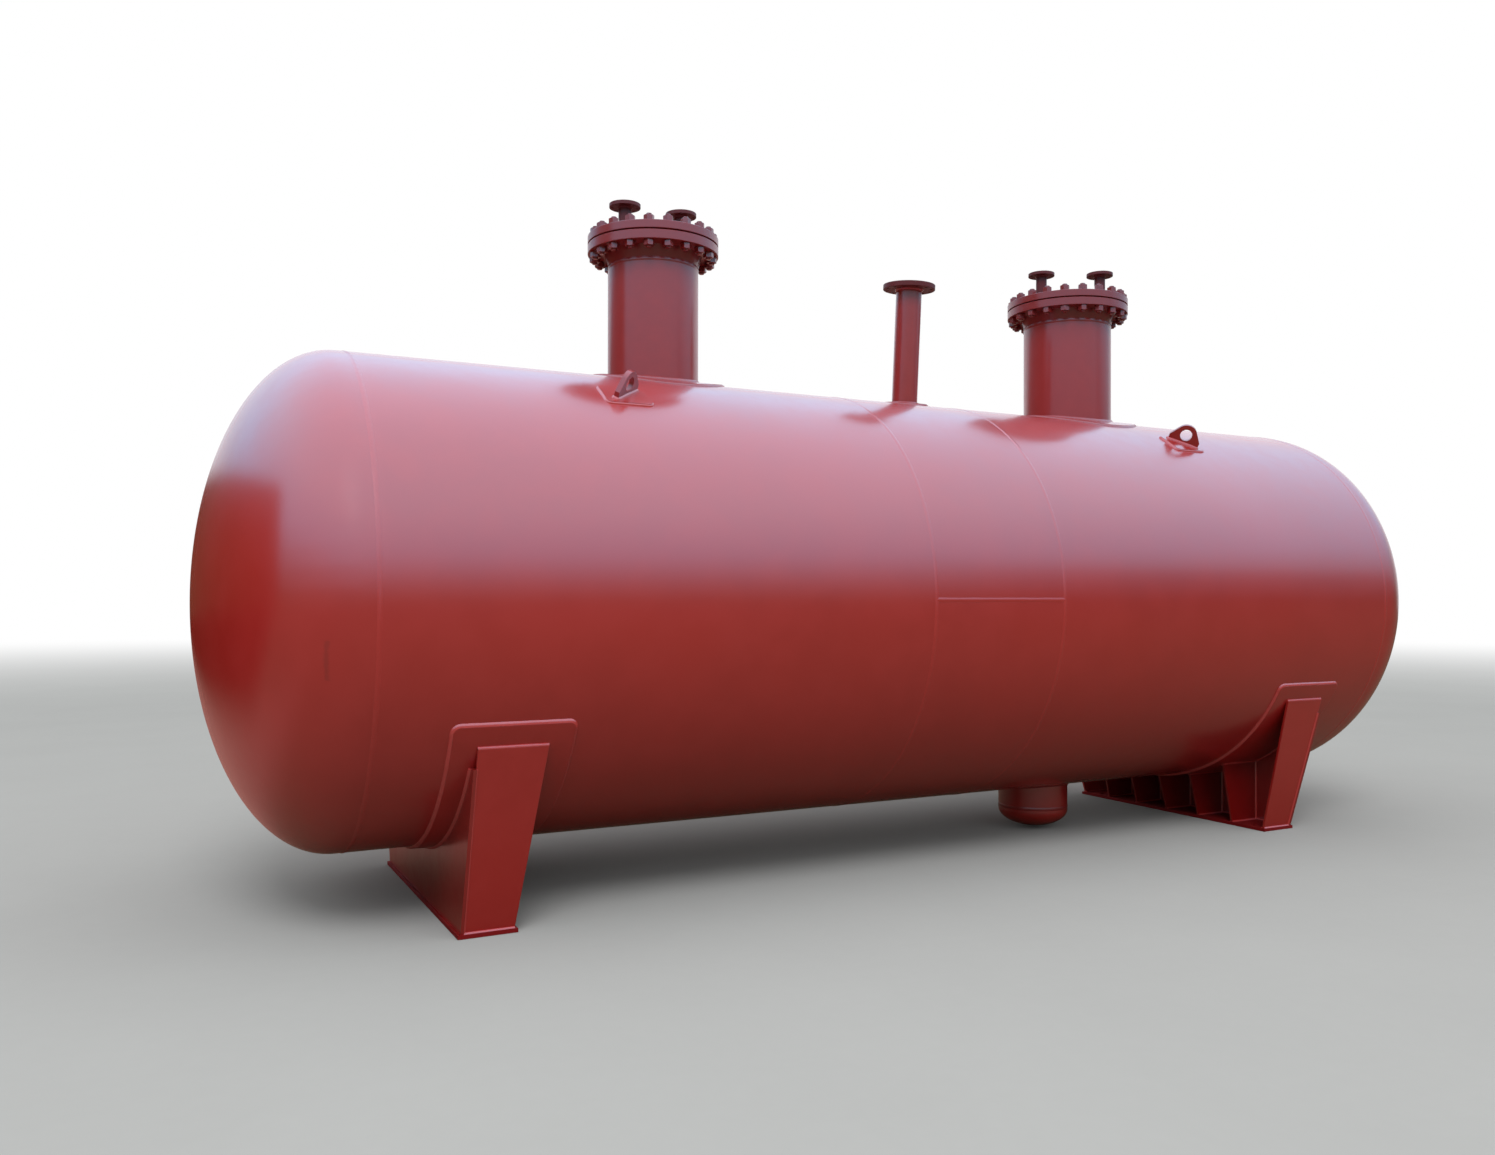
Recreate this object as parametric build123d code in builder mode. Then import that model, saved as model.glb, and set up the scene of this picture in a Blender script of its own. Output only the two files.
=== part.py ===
import os
from math import cos, radians, sin, sqrt

from build123d import *

os.makedirs("parts", exist_ok=True)

# Lengths in millimetres, angles in degrees. X runs along the tank, Z is up and the base plates stand on Z = 0.

# Vessel body
shell_radius = 1300.0
shell_wall = 16.0
seam_span = 6800.0
middle_course_length = 920.0
head_straight = 40.0
head_wall = 18.0
ground_clearance = 310.0

axis_height = shell_radius + ground_clearance
half_span = seam_span / 2
half_middle = middle_course_length / 2
head_depth = shell_radius / 2
bore_radius = shell_radius - shell_wall

# Access necks: the left one is a size smaller than the right one
left_access = {
    "x": -1588.0,
    "neck_radius": 270.0,
    "neck_wall": 14.0,
    "pad_radius": 420.0,
    "flange_radius": 390.0,
    "bolt_circle": 350.0,
    "bolt_count": 20,
    "bolt_hole": 18.0,
    "hub_radius": 290.0,
    "face_radius": 318.0,
}
right_access = {
    "x": 1676.0,
    "neck_radius": 307.0,
    "neck_wall": 14.0,
    "pad_radius": 472.0,
    "flange_radius": 422.5,
    "bolt_circle": 385.0,
    "bolt_count": 20,
    "bolt_hole": 19.5,
    "hub_radius": 328.0,
    "face_radius": 350.0,
}
neck_rise = 762.0
hub_length = 80.0
flange_thickness = 52.0
raised_face = 2.0
gasket_thickness = 4.0
cover_thickness = 46.0
pad_thickness = 12.0

flange_bottom = axis_height + shell_radius + neck_rise
face_height = flange_bottom + flange_thickness + raised_face
cover_bottom = face_height + gasket_thickness
cover_top = cover_bottom + raised_face + cover_thickness

# Small nozzles that stand on the two covers: offsets from the cover centre, and rise over the cover
cover_nozzles = {
    "left_cover_nozzle_a": (left_access, -182.0, 0.0, 182.0),
    "left_cover_nozzle_b": (left_access, 182.0, 0.0, 182.0),
    "right_cover_nozzle_a": (right_access, -165.0, 86.0, 218.0),
    "right_cover_nozzle_b": (right_access, 212.0, -110.0, 218.0),
}
stub_radius = 38.0
stub_wall = 6.0
stub_flange_radius = 92.5
stub_flange_thickness = 20.0
stub_bolt_circle = 72.5
stub_bolt_count = 8
stub_bolt_hole = 9.0
stub_weld = 8.0

# Slim nozzle between the access necks: it stands radially, a few degrees to the front of the top line
slim_x = 175.0
slim_angle = 4.0
slim_radius = 84.0
slim_wall = 9.0
slim_rise = 786.0
slim_flange_radius = 170.0
slim_flange_thickness = 32.0
slim_bolt_circle = 145.0
slim_bolt_count = 12
slim_bolt_hole = 11.0
slim_pad_radius = 150.0
slim_reach = shell_radius + slim_rise

# Sump under the right course: its dome stays clear of the floor
sump_x = 1355.0
sump_radius = 240.0
sump_wall = 12.0
sump_floor_gap = 18.0
sump_cap_straight = 25.0
sump_cap_depth = sump_radius / 2
sump_cap_top = sump_floor_gap + sump_cap_depth + sump_cap_straight

# Lifting lugs: four, standing radially on pads at the shoulders and turned towards the middle of the tank
lug_x = 2050.0
lug_angle = 33.5
lug_turn = 42.0
lug_pad_length = 260.0
lug_pad_width = 200.0
lug_pad_corner = 30.0
lug_width = 206.0
lug_cheek = 36.0
lug_eye_rise = 60.0
lug_eye_radius = 70.0
lug_bore = 39.0
lug_thickness = 28.0

# Saddles: the web stands plumb at the outer side, and the ribs and end plates that butt on its inner face
# flare to the middle. The edges of the web stand a little proud of the end plates, for their welds.
saddle_x = 2765.0
wear_angle = 64.4
wear_width = 580.0
wear_corner = 35.0
wear_thickness = 14.0
rib_angle = 59.4
rib_top_width = 340.0
rib_foot_width = 251.0
rib_thickness = 14.0
rib_spacing = 300.0
web_thickness = 16.0
web_ledge = 8.0
web_snip = 95.0
end_plate_thickness = 16.0
end_plate_ledge = 12.0
foot_half_length = 875.0
base_overhang = 14.0
base_thickness = 20.0
anchor_x = 62.0
anchor_y = 738.0
anchor_hole = 14.0
anchor_slot = 60.0

wear_radius = shell_radius + wear_thickness
overreach = 400.0
slim_lean = radians(slim_angle)
slim_plane = Plane((slim_x, 0, axis_height), x_dir=(1, 0, 0), z_dir=(0, -sin(slim_lean), cos(slim_lean)))

# Shell courses: rolled rings that meet face to face at the girth seams
with BuildPart() as shell_course_left:
    with BuildSketch(Plane.YZ.offset(-half_span)):
        with Locations((0, axis_height)):
            Circle(shell_radius)
            Circle(bore_radius, mode=Mode.SUBTRACT)
    extrude(amount=half_span - half_middle)
    with BuildSketch(Plane.XY.offset(axis_height)):
        with Locations((left_access["x"], 0)):
            Circle(left_access["neck_radius"])
    extrude(amount=shell_radius + overreach, mode=Mode.SUBTRACT)
shell_course_left.part.label = "shell_course_left"
export_step(shell_course_left.part, "parts/shell_course_left.step")

with BuildPart() as shell_course_middle:
    with BuildSketch(Plane.YZ.offset(-half_middle)):
        with Locations((0, axis_height)):
            Circle(shell_radius)
            Circle(bore_radius, mode=Mode.SUBTRACT)
    extrude(amount=middle_course_length)
    with BuildSketch(slim_plane):
        Circle(slim_radius)
    extrude(amount=shell_radius + overreach, mode=Mode.SUBTRACT)
shell_course_middle.part.label = "shell_course_middle"
export_step(shell_course_middle.part, "parts/shell_course_middle.step")

with BuildPart() as shell_course_right:
    with BuildSketch(Plane.YZ.offset(half_middle)):
        with Locations((0, axis_height)):
            Circle(shell_radius)
            Circle(bore_radius, mode=Mode.SUBTRACT)
    extrude(amount=half_span - half_middle)
    with BuildSketch(Plane.XY.offset(axis_height)):
        with Locations((right_access["x"], 0)):
            Circle(right_access["neck_radius"])
    extrude(amount=shell_radius + overreach, mode=Mode.SUBTRACT)
    with BuildSketch(Plane.XY.offset(axis_height)):
        with Locations((sump_x, 0)):
            Circle(sump_radius)
    extrude(amount=-(shell_radius + overreach), mode=Mode.SUBTRACT)
shell_course_right.part.label = "shell_course_right"
export_step(shell_course_right.part, "parts/shell_course_right.step")

# Heads: two-to-one ellipsoids on a short straight flange, of one wall thickness
for side, name in ((-1, "head_left"), (1, "head_right")):
    seam = side * half_span
    knuckle = side * (half_span + head_straight)
    crown_angle = 0 if side > 0 else 180
    with BuildPart() as head:
        with BuildSketch(Plane.XZ):
            with BuildLine():
                for offset in (0, head_wall):
                    EllipticalCenterArc(
                        (knuckle, axis_height),
                        head_depth - offset,
                        shell_radius - offset,
                        start_angle=crown_angle,
                        arc_size=side * 90,
                    )
                crown = knuckle + side * head_depth
                Line((crown - side * head_wall, axis_height), (crown, axis_height))
                Line((knuckle, axis_height + shell_radius), (seam, axis_height + shell_radius))
                Line((seam, axis_height + shell_radius), (seam, axis_height + shell_radius - head_wall))
                Line((seam, axis_height + shell_radius - head_wall), (knuckle, axis_height + shell_radius - head_wall))
            make_face()
        revolve(axis=Axis((0, 0, axis_height), (1, 0, 0)))
    head.part.label = name
    export_step(head.part, "parts/" + name + ".step")

# Access necks, each with reinforcing pad, weld-neck flange, gasket and blind cover
for side, access in (("left", left_access), ("right", right_access)):
    x = access["x"]
    neck_bore = access["neck_radius"] - access["neck_wall"]

    # Set-in neck, cut flush with the inside of the shell
    with BuildPart() as neck:
        with BuildSketch(Plane.XY.offset(axis_height)):
            with Locations((x, 0)):
                Circle(access["neck_radius"])
                Circle(neck_bore, mode=Mode.SUBTRACT)
        extrude(amount=flange_bottom - hub_length - axis_height)
        with Locations(Location((x, 0, axis_height), (0, 90, 0))):
            Cylinder(bore_radius, 2 * access["pad_radius"], mode=Mode.SUBTRACT)
    neck.part.label = side + "_access_neck"
    export_step(neck.part, "parts/" + side + "_access_neck.step")

    # Reinforcing pad, rolled to the shell
    with BuildPart() as pad:
        with BuildSketch(Plane.XY.offset(axis_height)):
            with Locations((x, 0)):
                Circle(access["pad_radius"])
                Circle(access["neck_radius"], mode=Mode.SUBTRACT)
        extrude(amount=shell_radius + overreach)
        with Locations(Location((x, 0, axis_height), (0, 90, 0))):
            Cylinder(shell_radius + pad_thickness, 3 * access["pad_radius"], mode=Mode.INTERSECT)
            Cylinder(shell_radius, 3 * access["pad_radius"], mode=Mode.SUBTRACT)
    pad.part.label = side + "_access_pad"
    export_step(pad.part, "parts/" + side + "_access_pad.step")

    # Weld-neck flange with hub and raised face
    with BuildPart() as flange:
        with BuildSketch(Plane.XZ):
            with Locations((x, 0)):
                Polygon(
                    (neck_bore, flange_bottom - hub_length),
                    (access["neck_radius"], flange_bottom - hub_length),
                    (access["neck_radius"], flange_bottom - hub_length + 12),
                    (access["hub_radius"], flange_bottom),
                    (access["flange_radius"], flange_bottom),
                    (access["flange_radius"], flange_bottom + flange_thickness),
                    (access["face_radius"], flange_bottom + flange_thickness),
                    (access["face_radius"], face_height),
                    (neck_bore, face_height),
                    align=None,
                )
        revolve(axis=Axis((x, 0, 0), (0, 0, 1)))
        with BuildSketch(Plane.XY.offset(flange_bottom)):
            with Locations((x, 0)):
                with PolarLocations(access["bolt_circle"], access["bolt_count"], start_angle=9):
                    Circle(access["bolt_hole"])
        extrude(amount=flange_thickness, mode=Mode.SUBTRACT)
        rim = flange.edges().filter_by(GeomType.CIRCLE).filter_by(lambda e: e.radius == access["flange_radius"])
        chamfer(rim, 2)
    flange.part.label = side + "_access_flange"
    export_step(flange.part, "parts/" + side + "_access_flange.step")

    # Gasket between the raised faces
    with BuildPart() as gasket:
        with BuildSketch(Plane.XY.offset(face_height)):
            with Locations((x, 0)):
                Circle(access["face_radius"])
                Circle(neck_bore, mode=Mode.SUBTRACT)
        extrude(amount=gasket_thickness)
    gasket.part.label = side + "_access_gasket"
    export_step(gasket.part, "parts/" + side + "_access_gasket.step")

    # Blind cover, drilled for its two nozzles
    with BuildPart() as cover:
        with BuildSketch(Plane.XY.offset(cover_bottom)):
            with Locations((x, 0)):
                Circle(access["face_radius"])
        extrude(amount=raised_face)
        with BuildSketch(Plane.XY.offset(cover_bottom + raised_face)):
            with Locations((x, 0)):
                Circle(access["flange_radius"])
        extrude(amount=cover_thickness)
        rim = cover.edges().filter_by(GeomType.CIRCLE).filter_by(lambda e: e.radius == access["flange_radius"])
        chamfer(rim, 2)
        with BuildSketch(Plane.XY.offset(cover_bottom)):
            with Locations((x, 0)):
                with PolarLocations(access["bolt_circle"], access["bolt_count"], start_angle=9):
                    Circle(access["bolt_hole"])
            for host, dx, dy, rise in cover_nozzles.values():
                if host is access:
                    with Locations((x + dx, dy)):
                        Circle(stub_radius)
        extrude(amount=cover_top - cover_bottom, mode=Mode.SUBTRACT)
    cover.part.label = side + "_access_cover"
    export_step(cover.part, "parts/" + side + "_access_cover.step")

# Cover nozzles: short pipe through the cover, with a flat flange and a fillet weld at its foot
for name, (host, dx, dy, rise) in cover_nozzles.items():
    stub_x = host["x"] + dx
    stub_top = cover_top + rise
    stub_plane = Plane((stub_x, dy, 0), x_dir=(1, 0, 0), z_dir=(0, -1, 0))
    with BuildPart() as stub:
        with BuildSketch(stub_plane):
            Polygon(
                (stub_radius - stub_wall, cover_bottom),
                (stub_radius, cover_bottom),
                (stub_radius, cover_top),
                (stub_radius + stub_weld, cover_top),
                (stub_radius, cover_top + stub_weld),
                (stub_radius, stub_top - stub_flange_thickness - stub_weld),
                (stub_radius + stub_weld, stub_top - stub_flange_thickness),
                (stub_flange_radius, stub_top - stub_flange_thickness),
                (stub_flange_radius, stub_top),
                (stub_radius - stub_wall, stub_top),
                align=None,
            )
        revolve(axis=Axis((stub_x, dy, 0), (0, 0, 1)))
        with BuildSketch(Plane.XY.offset(stub_top)):
            with Locations((stub_x, dy)):
                with PolarLocations(stub_bolt_circle, stub_bolt_count, start_angle=22.5):
                    Circle(stub_bolt_hole)
        extrude(amount=-stub_flange_thickness, mode=Mode.SUBTRACT)
    stub.part.label = name
    export_step(stub.part, "parts/" + name + ".step")

# Slim nozzle: neck, pad and flat flange
with BuildPart() as slim_neck:
    with BuildSketch(slim_plane):
        Circle(slim_radius)
        Circle(slim_radius - slim_wall, mode=Mode.SUBTRACT)
    extrude(amount=slim_reach - slim_flange_thickness)
    with Locations(Location((slim_x, 0, axis_height), (0, 90, 0))):
        Cylinder(bore_radius, 4 * slim_radius, mode=Mode.SUBTRACT)
slim_neck.part.label = "slim_nozzle_neck"
export_step(slim_neck.part, "parts/slim_nozzle_neck.step")

with BuildPart() as slim_pad:
    with BuildSketch(slim_plane):
        Circle(slim_pad_radius)
        Circle(slim_radius, mode=Mode.SUBTRACT)
    extrude(amount=shell_radius + overreach)
    with Locations(Location((slim_x, 0, axis_height), (0, 90, 0))):
        Cylinder(shell_radius + pad_thickness, 3 * slim_pad_radius, mode=Mode.INTERSECT)
        Cylinder(shell_radius, 3 * slim_pad_radius, mode=Mode.SUBTRACT)
slim_pad.part.label = "slim_nozzle_pad"
export_step(slim_pad.part, "parts/slim_nozzle_pad.step")

with BuildPart() as slim_flange:
    with BuildSketch(slim_plane.offset(slim_reach - slim_flange_thickness)):
        Circle(slim_flange_radius)
        Circle(slim_radius - slim_wall, mode=Mode.SUBTRACT)
    extrude(amount=slim_flange_thickness)
    rim = slim_flange.edges().filter_by(GeomType.CIRCLE).filter_by(lambda e: e.radius == slim_flange_radius)
    chamfer(rim, 2)
    with BuildSketch(slim_plane.offset(slim_reach)):
        with PolarLocations(slim_bolt_circle, slim_bolt_count, start_angle=15):
            Circle(slim_bolt_hole)
    extrude(amount=-slim_flange_thickness, mode=Mode.SUBTRACT)
slim_flange.part.label = "slim_nozzle_flange"
export_step(slim_flange.part, "parts/slim_nozzle_flange.step")

# Sump: pipe set into the bottom of the right course, closed by a dished cap
with BuildPart() as sump_pipe:
    with BuildSketch(Plane.XY.offset(sump_cap_top)):
        with Locations((sump_x, 0)):
            Circle(sump_radius)
            Circle(sump_radius - sump_wall, mode=Mode.SUBTRACT)
    extrude(amount=axis_height - sump_cap_top)
    with Locations(Location((sump_x, 0, axis_height), (0, 90, 0))):
        Cylinder(bore_radius, 4 * sump_radius, mode=Mode.SUBTRACT)
sump_pipe.part.label = "sump_pipe"
export_step(sump_pipe.part, "parts/sump_pipe.step")

with BuildPart() as sump_cap:
    cap_centre = sump_cap_top - sump_cap_straight
    with BuildSketch(Plane.XZ):
        with BuildLine():
            for offset in (0, sump_wall):
                EllipticalCenterArc(
                    (sump_x, cap_centre),
                    sump_radius - offset,
                    sump_cap_depth - offset,
                    start_angle=270,
                    arc_size=90,
                )
            Line((sump_x, cap_centre - sump_cap_depth), (sump_x, cap_centre - sump_cap_depth + sump_wall))
            Line((sump_x + sump_radius, cap_centre), (sump_x + sump_radius, sump_cap_top))
            Line((sump_x + sump_radius, sump_cap_top), (sump_x + sump_radius - sump_wall, sump_cap_top))
            Line((sump_x + sump_radius - sump_wall, sump_cap_top), (sump_x + sump_radius - sump_wall, cap_centre))
        make_face()
    revolve(axis=Axis((sump_x, 0, 0), (0, 0, 1)))
sump_cap.part.label = "sump_cap"
export_step(sump_cap.part, "parts/sump_cap.step")

# Lifting lugs
pad_surface = shell_radius + pad_thickness
for end, side in ((-1, -1), (-1, 1), (1, -1), (1, 1)):
    name = "lug_" + ("left" if end < 0 else "right") + ("_front" if side < 0 else "_back")
    lean = radians(lug_angle)
    outward = Vector(0, side * sin(lean), cos(lean))
    around = Vector(0, -side * cos(lean), sin(lean))
    pad_origin = Vector(end * lug_x, 0, axis_height) + outward * pad_surface
    pad_plane = Plane(pad_origin, x_dir=(1, 0, 0), z_dir=outward)
    with BuildPart() as lug_pad:
        with BuildSketch(pad_plane):
            RectangleRounded(lug_pad_length, lug_pad_width, lug_pad_corner)
        extrude(amount=4 * pad_thickness, both=True)
        with Locations(Location((end * lug_x, 0, axis_height), (0, 90, 0))):
            Cylinder(pad_surface, 2 * lug_pad_length, mode=Mode.INTERSECT)
            Cylinder(shell_radius, 2 * lug_pad_length, mode=Mode.SUBTRACT)
    lug_pad.part.label = name + "_pad"
    export_step(lug_pad.part, "parts/" + name + "_pad.step")

    turn = radians(lug_turn)
    along = Vector(-end * cos(turn), 0, 0) + around * sin(turn)
    plate_plane = Plane(pad_origin, x_dir=along, z_dir=along.cross(outward))
    with BuildPart() as lug_plate:
        with BuildSketch(plate_plane):
            with Locations((0, lug_eye_rise)):
                Circle(lug_eye_radius)
            Rectangle(lug_width, 2 * lug_cheek)
            make_hull()
            with Locations((0, lug_eye_rise)):
                Circle(lug_bore, mode=Mode.SUBTRACT)
        extrude(amount=lug_thickness / 2, both=True)
        with Locations(Location((end * lug_x, 0, axis_height), (0, 90, 0))):
            Cylinder(pad_surface, 2 * lug_pad_length, mode=Mode.SUBTRACT)
    lug_plate.part.label = name + "_plate"
    export_step(lug_plate.part, "parts/" + name + "_plate.step")

# Saddles: wear plate, ribbed web, two leaning end plates and a drilled base plate. The upper corners of
# the web are snipped, so that they clear the welds of the end plates to the wear plate.
rib_top_y = wear_radius * sin(radians(rib_angle))
rib_top_z = axis_height - wear_radius * cos(radians(rib_angle))
end_top_y = (wear_radius + end_plate_ledge) * sin(radians(rib_angle))
end_top_z = axis_height - (wear_radius + end_plate_ledge) * cos(radians(rib_angle))
lean_run = end_top_y - foot_half_length
lean_rise = end_top_z - base_thickness
lean_length = sqrt(lean_run**2 + lean_rise**2)
lean_inset = end_plate_thickness * lean_length / lean_rise
inner_foot = foot_half_length - lean_inset
inner_top = end_top_y - lean_inset
snip_z = end_top_z - web_snip
web_foot = foot_half_length + web_ledge
snip_y = web_foot + lean_run * (snip_z - base_thickness) / lean_rise
rib_count = int(inner_foot // rib_spacing)
rib_places = [rib_spacing * k for k in range(-rib_count, rib_count + 1)]

for end, name in ((-1, "saddle_left"), (1, "saddle_right")):
    x = end * saddle_x
    outer_x = x + end * rib_top_width / 2
    inner_top_x = outer_x - end * rib_top_width
    inner_foot_x = outer_x - end * rib_foot_width
    web_outer_x = outer_x + end * web_thickness
    foot_x = (web_outer_x + inner_foot_x) / 2

    # Wear plate: a rolled pad with rounded corners, wider than the ribs that it carries
    with BuildPart() as wear_plate:
        with BuildSketch(Plane.YZ.offset(x)):
            with Locations((0, axis_height)):
                Circle(wear_radius)
                Circle(shell_radius, mode=Mode.SUBTRACT)
            with BuildLine():
                corner_y = 2 * wear_radius * sin(radians(wear_angle))
                corner_z = axis_height - 2 * wear_radius * cos(radians(wear_angle))
                Polyline(
                    (0, axis_height),
                    (corner_y, corner_z),
                    (corner_y, -wear_radius),
                    (-corner_y, -wear_radius),
                    (-corner_y, corner_z),
                    (0, axis_height),
                )
            make_face(mode=Mode.INTERSECT)
        extrude(amount=wear_width / 2, both=True)
        uprights = wear_plate.edges().filter_by(
            lambda e: abs(e.length - wear_thickness) < 0.01 and abs(e.center().X - x) > wear_width / 2 - 1
        )
        fillet(uprights, wear_corner)
    wear_plate.part.label = name + "_wear_plate"
    export_step(wear_plate.part, "parts/" + name + "_wear_plate.step")

    # Web with its cross ribs, scribed to the wear plate
    with BuildPart() as web:
        with BuildSketch(Plane.YZ.offset(outer_x)):
            Polygon(
                (-web_foot, base_thickness),
                (web_foot, base_thickness),
                (snip_y, snip_z),
                (-snip_y, snip_z),
                align=None,
            )
        extrude(amount=end * web_thickness)
        for rib_y in rib_places:
            top_z = axis_height - sqrt(wear_radius**2 - rib_y**2)
            flare = (rib_top_width - rib_foot_width) / (top_z - base_thickness)
            reach_z = top_z + wear_thickness + rib_thickness
            reach = rib_foot_width + flare * (reach_z - base_thickness)
            with BuildSketch(Plane.XZ.offset(-rib_y)):
                Polygon(
                    (outer_x, base_thickness),
                    (inner_foot_x, base_thickness),
                    (outer_x - end * reach, reach_z),
                    (outer_x, reach_z),
                    align=None,
                )
            extrude(amount=rib_thickness / 2, both=True)
        with Locations(Location((x, 0, axis_height), (0, 90, 0))):
            Cylinder(wear_radius, 2 * rib_top_width, mode=Mode.SUBTRACT)
    web.part.label = name + "_web"
    export_step(web.part, "parts/" + name + "_web.step")

    # End plates: they lean outwards and widen upwards
    for side, place in ((-1, "_front_end_plate"), (1, "_back_end_plate")):
        with BuildPart() as end_plate:
            with BuildSketch(Plane.YZ.offset(x)):
                Polygon(
                    (side * inner_foot, base_thickness),
                    (side * foot_half_length, base_thickness),
                    (side * end_top_y, end_top_z),
                    (side * inner_top, end_top_z),
                    align=None,
                )
            extrude(amount=rib_top_width, both=True)
            with BuildSketch(Plane.XZ):
                Polygon(
                    (outer_x, base_thickness),
                    (inner_foot_x, base_thickness),
                    (inner_top_x, end_top_z),
                    (outer_x, end_top_z),
                    align=None,
                )
            extrude(amount=2 * shell_radius, both=True, mode=Mode.INTERSECT)
            with Locations(Location((x, 0, axis_height), (0, 90, 0))):
                Cylinder(wear_radius, 2 * rib_top_width, mode=Mode.SUBTRACT)
        end_plate.part.label = name + place
        export_step(end_plate.part, "parts/" + name + place + ".step")

    # Base plate: round anchor holes under the left saddle, sliding slots under the right one
    with BuildPart() as base_plate:
        with BuildSketch(Plane.XY):
            with Locations((foot_x, 0)):
                base_length = rib_foot_width + web_thickness + 2 * base_overhang
                Rectangle(base_length, 2 * (foot_half_length + base_overhang))
            with Locations((foot_x, 0)):
                with GridLocations(2 * anchor_x, 2 * anchor_y, 2, 2):
                    if end < 0:
                        Circle(anchor_hole, mode=Mode.SUBTRACT)
                    else:
                        SlotOverall(anchor_slot, 2 * anchor_hole, mode=Mode.SUBTRACT)
        extrude(amount=base_thickness)
    base_plate.part.label = name + "_base_plate"
    export_step(base_plate.part, "parts/" + name + "_base_plate.step")
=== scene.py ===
from math import ceil, cos, pi, radians, sin, sqrt, tan

import bmesh
import bpy
from mathutils import Matrix, Vector


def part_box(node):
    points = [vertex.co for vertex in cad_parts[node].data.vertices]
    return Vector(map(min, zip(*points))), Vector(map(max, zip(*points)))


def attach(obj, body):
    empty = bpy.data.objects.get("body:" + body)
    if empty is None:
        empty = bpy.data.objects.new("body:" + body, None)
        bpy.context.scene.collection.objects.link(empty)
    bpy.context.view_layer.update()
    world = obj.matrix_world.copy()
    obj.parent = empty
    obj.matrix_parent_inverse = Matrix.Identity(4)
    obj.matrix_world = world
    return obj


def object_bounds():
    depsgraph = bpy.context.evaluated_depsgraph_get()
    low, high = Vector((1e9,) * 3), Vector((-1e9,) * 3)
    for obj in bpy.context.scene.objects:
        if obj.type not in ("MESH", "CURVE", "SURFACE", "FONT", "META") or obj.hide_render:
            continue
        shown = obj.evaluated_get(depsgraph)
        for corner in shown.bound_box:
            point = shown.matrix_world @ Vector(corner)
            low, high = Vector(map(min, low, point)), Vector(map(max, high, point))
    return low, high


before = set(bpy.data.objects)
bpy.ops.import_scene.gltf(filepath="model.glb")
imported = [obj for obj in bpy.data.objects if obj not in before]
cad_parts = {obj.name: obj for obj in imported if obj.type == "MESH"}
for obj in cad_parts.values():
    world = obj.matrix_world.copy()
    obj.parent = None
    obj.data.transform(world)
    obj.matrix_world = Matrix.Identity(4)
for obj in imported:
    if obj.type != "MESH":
        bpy.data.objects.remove(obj)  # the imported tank: its bodies, nodes and record
cadLow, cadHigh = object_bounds()
print("frame loaded:", len(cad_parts), "nodes")

alongTank, toBack, upright = Vector((1, 0, 0)), Vector((0, 1, 0)), Vector((0, 0, 1))


# Places and sizes read from the frame, in metres: X along the tank, Y to the back, Z up
def middleOf(node):
    low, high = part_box(node)
    return (low + high) / 2


def sizeOf(node):
    low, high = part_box(node)
    return high - low


tank = {
    "radius": sizeOf("shell_course_middle").z / 2,
    "axisHeight": middleOf("shell_course_middle").z,
    "seams": [
        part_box("shell_course_left")[0].x,
        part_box("shell_course_middle")[0].x,
        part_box("shell_course_middle")[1].x,
        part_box("shell_course_right")[1].x,
    ],
}


def onAxis(x):
    return Vector((x, 0, tank["axisHeight"]))


# Nodes written as expressions
class Value:
    def __init__(self, tree, socket):
        self.tree, self.socket = tree, socket

    def other(self, name):  # another output of the same node
        return Value(self.tree, self.socket.node.outputs[name])

    def maths(self, operation, *ends):
        return self.tree.node("ShaderNodeMath", {"operation": operation}, dict(enumerate(ends)))

    def __add__(self, end):
        return self.maths("ADD", self, end)

    def __radd__(self, end):
        return self.maths("ADD", end, self)

    def __sub__(self, end):
        return self.maths("SUBTRACT", self, end)

    def __rsub__(self, end):
        return self.maths("SUBTRACT", end, self)

    def __mul__(self, end):
        return self.maths("MULTIPLY", self, end)

    def __rmul__(self, end):
        return self.maths("MULTIPLY", end, self)

    def __truediv__(self, end):
        return self.maths("DIVIDE", self, end)

    def __rtruediv__(self, end):
        return self.maths("DIVIDE", end, self)


class Tree:
    def __init__(self, nodeTree):
        self.nodes, self.links = nodeTree.nodes, nodeTree.links

    def node(self, kind, settings=None, sockets=None, out=0):
        made = self.nodes.new(kind)
        for name, setting in (settings or {}).items():
            setattr(made, name, setting)
        for name, value in (sockets or {}).items():
            if isinstance(value, Value):
                self.links.new(value.socket, made.inputs[name])
            else:
                made.inputs[name].default_value = value
        return Value(self, made.outputs[out]) if made.outputs else None

    def noise(self, place, scale, detail=2.0, roughness=0.5):
        sockets = {"Vector": place, "Scale": scale, "Detail": detail, "Roughness": roughness}
        return self.node("ShaderNodeTexNoise", {"noise_dimensions": "3D"}, sockets)

    def band(self, value, low, high):  # 0 at low, 1 at high, smooth between
        sockets = {"Value": value, "From Min": low, "From Max": high}
        return self.node("ShaderNodeMapRange", {"interpolation_type": "SMOOTHSTEP"}, sockets)

    def blend(self, factor, first, second):  # colours
        return self.node("ShaderNodeMix", {"data_type": "RGBA"}, {0: factor, 6: first, 7: second}, out=2)

    def vector(self, operation, *ends, out=0):
        return self.node("ShaderNodeVectorMath", {"operation": operation}, dict(enumerate(ends)), out)

    def scaled(self, vector, factor):
        return self.node("ShaderNodeVectorMath", {"operation": "SCALE"}, {0: vector, "Scale": factor})


def solid(colour):
    return (*colour, 1.0)


def newMaterial(name):
    material = bpy.data.materials.new(name)
    material.use_nodes = True
    material.node_tree.nodes.clear()
    return material, Tree(material.node_tree)


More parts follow.
